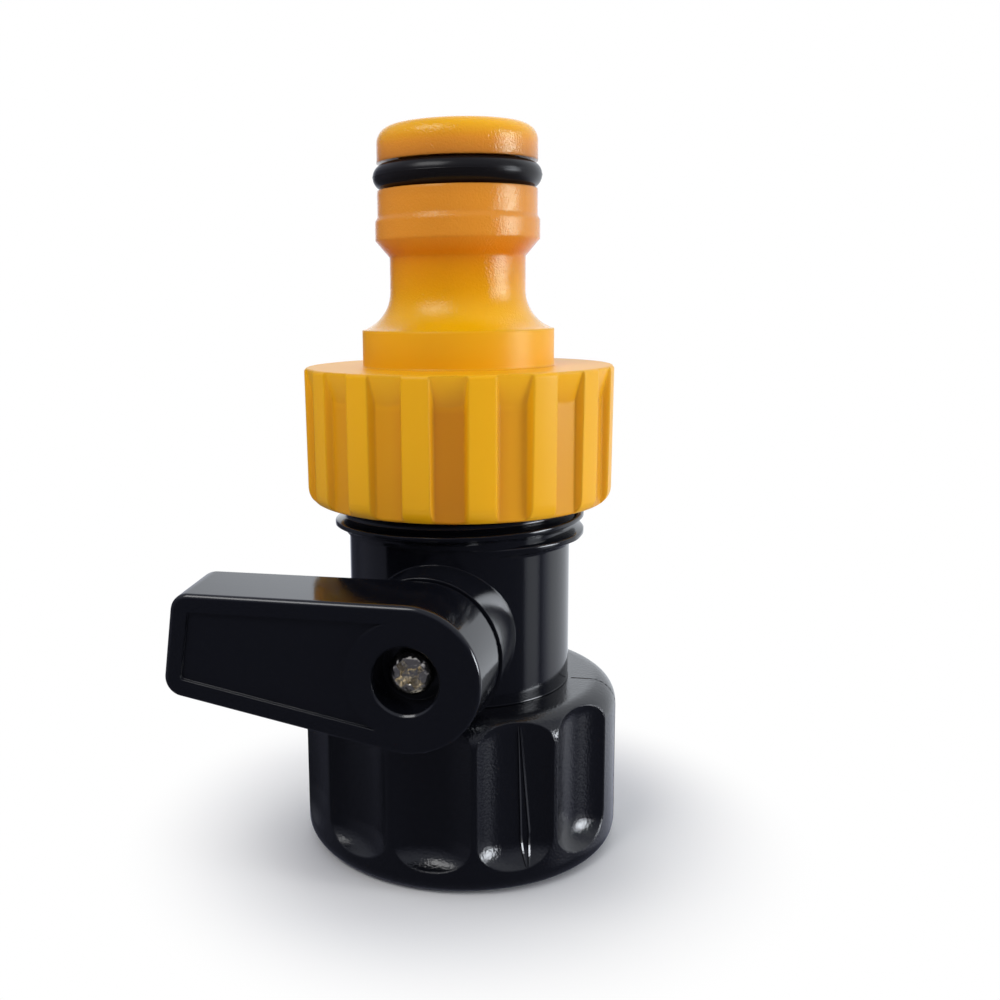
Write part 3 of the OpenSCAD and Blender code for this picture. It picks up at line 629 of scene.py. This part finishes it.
# %% [markdown]
# ## Studio: the lamp
# Glossy black plastic shows little colour of its own, and nearly all that is seen on it is the room. So
# the light is built in two parts: one lamp for the colours and the shadow, and a room for the mirrors. The
# lamp is a sheet of light high at the front left. Its power follows from the level that it has to reach.

# %% lamp
AIM = Vector((0, 0, 40))  # mm, the middle of the object


def soft_light(name, direction, distance, size, level):
    """An area lamp that lights a face turned towards it as strongly as level times a white room would."""
    lamp = bpy.data.lights.new(name, "AREA")
    lamp.shape = "RECTANGLE"
    lamp.size, lamp.size_y = size[0] * MM, size[1] * MM
    lamp.energy = level * (math.pi * distance * MM) ** 2
    made = bpy.data.objects.new(name, lamp)
    made.location = (AIM + direction * distance) * MM
    made.rotation_euler = (-direction).to_track_quat("-Z", "Y").to_euler()
    bpy.context.scene.collection.objects.link(made)
    print(name, "shines with", round(lamp.energy, 3), "W")


soft_light("high lamp", toward(-32, 48), 260, (150, 110), 0.42)

# %% [markdown]
# ## Studio: the parts of the room
# The room is bright behind the object and to its right, and dim on the camera's side. So the black plastic
# stays black where it faces the camera and shines where it turns away. A small sharp window low at the
# right gives the thin bright lines on every edge. Lamps could stand for all this, but their reflections
# have hard rims. Here each part of the room is a glow in the world, full in its middle and soft at its rim.

# %% parts of the room
SOFT = "SMOOTHSTEP"
# Each wall: its azimuth, its half width at the rim and where it is full, in degrees, and its level.
WALL_BEHIND, WALL_RIGHT, WALL_LEFT = (160, 62, 35, 1.0), (92, 13, 4, 0.9), (-75, 60, 20, 0.2)
UPPER_BACK = (toward(-160, 17), 26, 14, 0.4)  # high behind, mirrored by the lever's top
WINDOW = (toward(90, 5), 15, 6, 18.5)  # far brighter than white, as real ones are
# Heights here are sines of the elevation: from which, to which, and the level at either.
GROUND, FRONT_WALL = (-0.6, -0.25, 0.1, 1.0), (0.0, 0.7, 0.09, 0.6)


def glow(tree, direction, middle, rim, full, level):
    """A part of the room that is level bright within full degrees of its middle, and dark beyond its rim."""
    facing = node(tree, "VectorMath", direction, middle, operation="DOT_PRODUCT").outputs["Value"]
    low, high = math.cos(math.radians(rim)), math.cos(math.radians(full))
    return node(tree, "MapRange", facing, low, high, 0.0, level, interpolation_type=SOFT)


print("the window is", WINDOW[-1] / WALL_BEHIND[-1], "times as bright as the wall behind")

# %% [markdown]
# ## Studio: how bright the room is
# The walls take only the level part of a direction, so they stand like upright bands. They grow dark at the
# ground. The front wall brightens upwards. Where two parts overlap, the brighter one counts, so that their
# levels can be set one by one.

# %% brightness of the room
world = bpy.data.worlds.new("room")
world.use_nodes = True
bpy.context.scene.world = world
tree = world.node_tree
tree.nodes.clear()

direction = node(tree, "TexCoord").outputs["Generated"]
height = node(tree, "SeparateXYZ", direction).outputs["Z"]
level_part = node(tree, "VectorMath", direction, (1, 1, 0), operation="MULTIPLY")
level_direction = node(tree, "VectorMath", level_part, operation="NORMALIZE").outputs[0]

room = 0.0
for azimuth, *rest in (WALL_BEHIND, WALL_RIGHT, WALL_LEFT):
    room = node(tree, "Math", room, glow(tree, level_direction, toward(azimuth), *rest), operation="MAXIMUM")
room = node(tree, "Math", room, glow(tree, direction, *UPPER_BACK), operation="ADD")
above_ground = node(tree, "MapRange", height, *GROUND, interpolation_type=SOFT)
room = node(tree, "Math", room, above_ground, operation="MULTIPLY")
front_wall = node(tree, "MapRange", height, *FRONT_WALL, interpolation_type=SOFT)
room = node(tree, "Math", room, front_wall, operation="MAXIMUM")
room = node(tree, "Math", room, glow(tree, direction, *WINDOW), operation="MAXIMUM")
print("the room's brightness takes", len(tree.nodes), "nodes")

# %% [markdown]
# ## Studio: the room's colour, and who sees it
# The dim parts of the room are bluer than the bright ones. The room lights the object and is mirrored in
# it, but isn't seen behind it: rays that come straight from the camera meet plain white. A white wall could
# do that too, but it would stand in the way of the room's light.

# %% colour of the room
DIM_TONE, BRIGHT_TONE, WHITE = rgb("#d7dcff"), rgb("#f3f8ff"), rgb("#ffffff")
tone = node(tree, "MixRGB", room, DIM_TONE, BRIGHT_TONE)
mirrored = node(tree, "Background", tone, room)
backdrop = node(tree, "Background", WHITE, 1.0)
camera_ray = node(tree, "LightPath").outputs["Is Camera Ray"]
node(tree, "OutputWorld", node(tree, "MixShader", camera_ray, mirrored, backdrop))
print("the world has", len(tree.nodes), "nodes")

# %% [markdown]
# ## Studio: the sheet
# The object stands on a sheet of white paper. A plane is enough, as nothing of the sheet's edge is seen.
# Paper is matt, and its fibres are too fine to show here and no part of the object, so it has no grain.

# %% sheet
HALF = 3.0  # metres from the middle to an edge
floor_mesh = bpy.data.meshes.new("floor")
floor_corners = [(-HALF, -HALF, 0), (HALF, -HALF, 0), (HALF, HALF, 0), (-HALF, HALF, 0)]
floor_mesh.from_pydata(floor_corners, [], [(0, 1, 2, 3)])
floor = bpy.data.objects.new("floor", floor_mesh)
paper = material("white paper", "#fdfbf6", 0.9)
floor_mesh.materials.append(paper)
bpy.context.scene.collection.objects.link(floor)
print("the sheet is", 2 * HALF, "m wide")

# %% [markdown]
# ## Studio: how rays see the sheet
# Near the object the sheet is lit like any paper, so it keeps the shadow. Further out it turns to plain
# white for the camera, so that no edge shows. A stronger lamp would whiten it too, but would wash out the
# yellow. In the undersides of the black plastic the sheet would be mirrored white, which the photo doesn't
# show, so mirror rays pass through it to the room.

# %% rays and the sheet
SHADOW_FROM, SHADOW_TO = 0.019, 0.038  # metres from the axis between which the lit paper turns to white
tree = paper.node_tree
rays = node(tree, "LightPath").outputs
place = node(tree, "TexCoord").outputs["Object"]
from_axis = node(tree, "VectorMath", place, operation="LENGTH").outputs["Value"]
far = node(tree, "MapRange", from_axis, SHADOW_FROM, SHADOW_TO, 0.0, 1.0, interpolation_type=SOFT)
far_seen = node(tree, "Math", far, rays["Is Camera Ray"], operation="MULTIPLY")
plain_white = node(tree, "Emission", WHITE, 1.0)
to_camera = node(tree, "MixShader", far_seen, tree.nodes["Principled BSDF"], plain_white)
mirror_ray = node(tree, "Math", rays["Is Glossy Ray"], rays["Is Transmission Ray"], operation="MAXIMUM")
sheet = node(tree, "MixShader", mirror_ray, to_camera, node(tree, "BsdfTransparent"))
tree.links.new(sheet.outputs[0], tree.nodes["Material Output"].inputs["Surface"])
print("the sheet is plain white beyond", SHADOW_TO / MM, "mm from the axis")

# %% [markdown]
# ## Finish
# The Standard view shows a colour as it is written, where a film-like view would dull the yellow. What is
# added may make the object bigger by no more than the height of a line of flash.

# %% finish
bpy.context.scene.view_settings.view_transform = "Standard"
